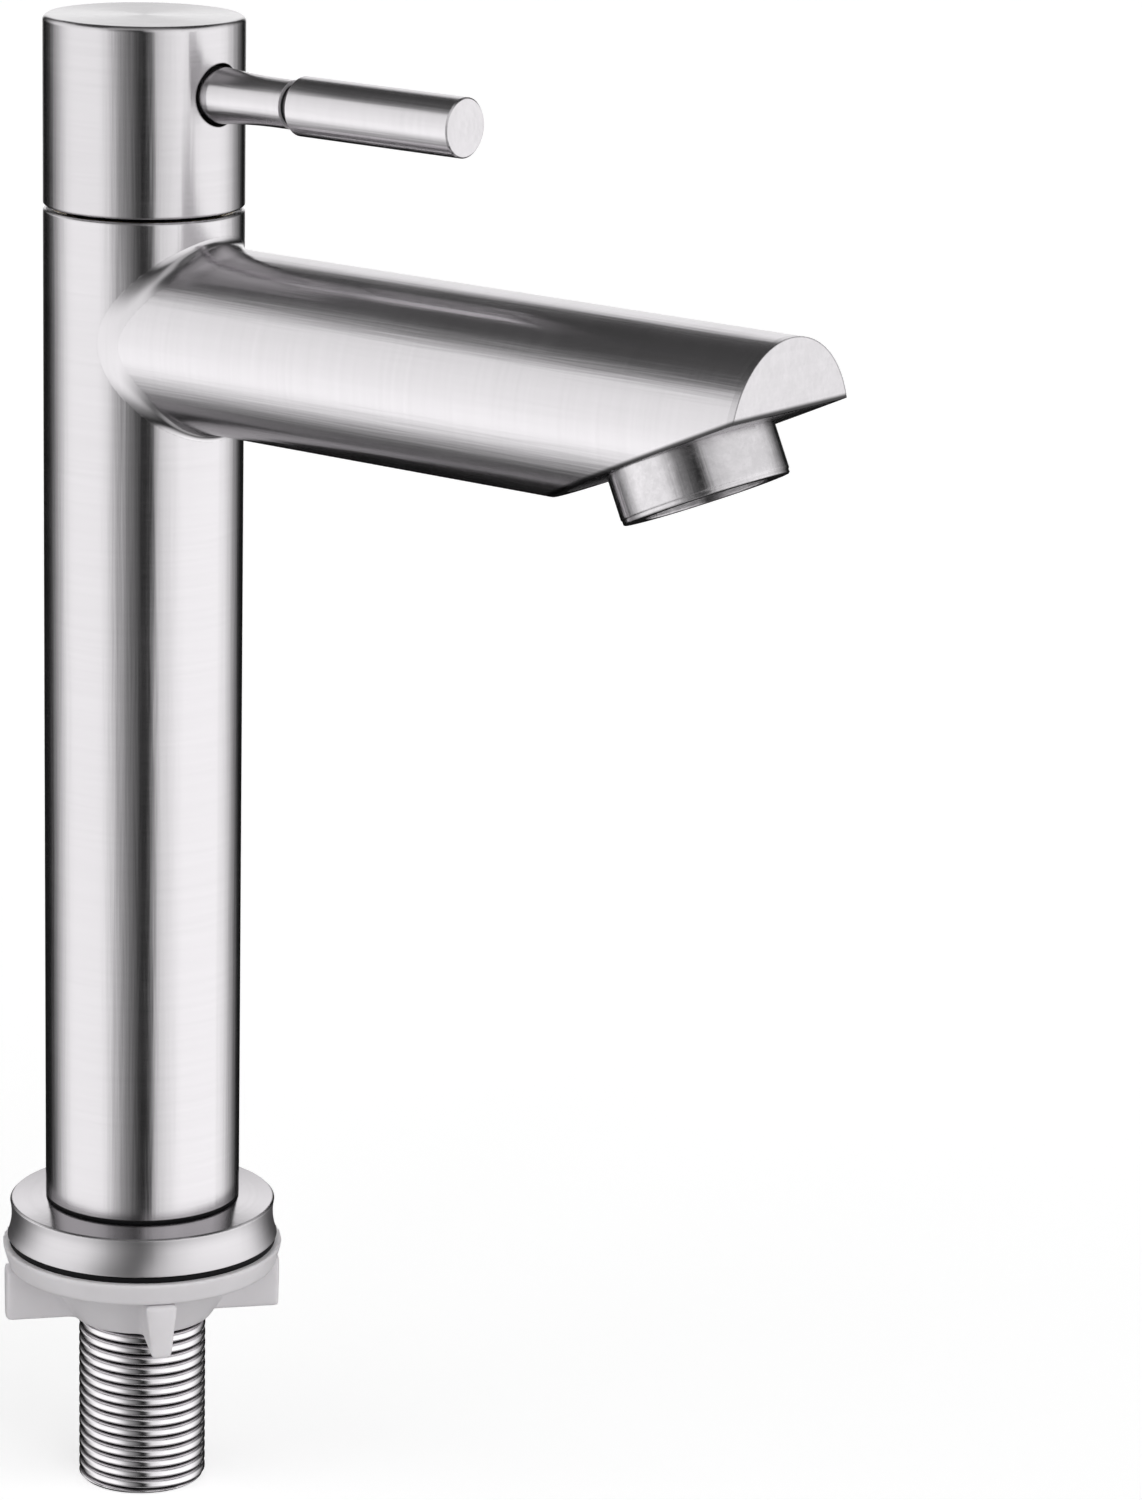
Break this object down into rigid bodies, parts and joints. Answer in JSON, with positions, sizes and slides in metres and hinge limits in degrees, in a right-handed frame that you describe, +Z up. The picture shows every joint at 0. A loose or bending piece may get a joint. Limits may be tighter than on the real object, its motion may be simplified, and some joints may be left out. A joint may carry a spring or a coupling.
{
  "type": "single-lever basin tap",
  "caption": "Tall round basin tap with a straight spout cut on a slant, a pin lever on a turning cap, a quarter-turn headwork and a threaded shank with wing nut.",
  "frame": {"origin": "on the column's axis, at the plane where the deck gasket meets the basin", "axes": "+Z up along the column, +X along the spout towards its outlet"},
  "size_m": [0.1486, 0.0462, 0.2437],
  "materials": {
    "brushed_body": "satin brushed",
    "brushed_plate": "satin brushed",
    "brushed_flange": "satin turned",
    "brushed_handle": "satin brushed",
    "brushed_lever": "satin brushed",
    "turned_steel": "turned",
    "threaded_steel": "threaded, bright",
    "aerator_metal": "satin",
    "mesh_steel": "woven",
    "small_steel": "plain",
    "turned_brass": "turned",
    "black_rubber": "matte",
    "grey_rubber": "matte",
    "white_plastic": "moulded",
    "grey_plastic": "moulded",
    "ivory_plastic": "moulded",
    "white_ceramic": "lapped"
  },
  "bodies": {
    "tap_body": {"column_tube": "brushed_body", "spout_tube": "brushed_body", "spout_weld": "brushed_body", "spout_end_plate": "brushed_plate", "spout_outlet_plate": "brushed_plate", "base_flange": "brushed_flange", "base_plug": "turned_steel", "threaded_shank": "threaded_steel", "base_seal": "black_rubber", "deck_gasket": "black_rubber", "aerator_housing": "aerator_metal", "aerator_washer": "grey_rubber", "aerator_insert": "grey_plastic", "aerator_screens": "mesh_steel", "valve_socket": "turned_brass", "bonnet": "turned_brass", "bonnet_seal": "black_rubber", "lower_disc": "white_ceramic", "seat_seal": "grey_rubber"},
    "handle": {"handle_cap": "brushed_handle", "lever_stem": "brushed_lever", "lever_grip": "brushed_lever", "handle_grub_screw": "small_steel", "spline_bush": "ivory_plastic", "spindle": "turned_brass", "spindle_o_rings": "black_rubber", "thrust_washer": "ivory_plastic", "stop_washer": "small_steel", "spindle_circlip": "small_steel", "upper_disc": "white_ceramic"},
    "washer": {"slip_washer": "white_plastic"},
    "nut": {"wing_nut": "white_plastic"}
  },
  "joints": [
    {"name": "handle_turn", "type": "hinge", "parent": "tap_body", "child": "handle", "pos_m": [0, 0, 0.19], "axis": [0, 0, 1], "range_deg": [0, 90]},
    {"name": "washer_slide", "type": "slide", "parent": "tap_body", "child": "washer", "axis": [0, 0, -1], "range_m": [0, 0.0254]},
    {"name": "nut_turn", "type": "hinge", "parent": "washer", "child": "nut", "pos_m": [0, 0, -0.008], "axis": [0, 0, -1], "range_deg": [0, 5040]}
  ],
  "couplings": [
    {"joint": "washer_slide", "follows": "nut_turn", "m_per_rad": 0.00028875}
  ]
}
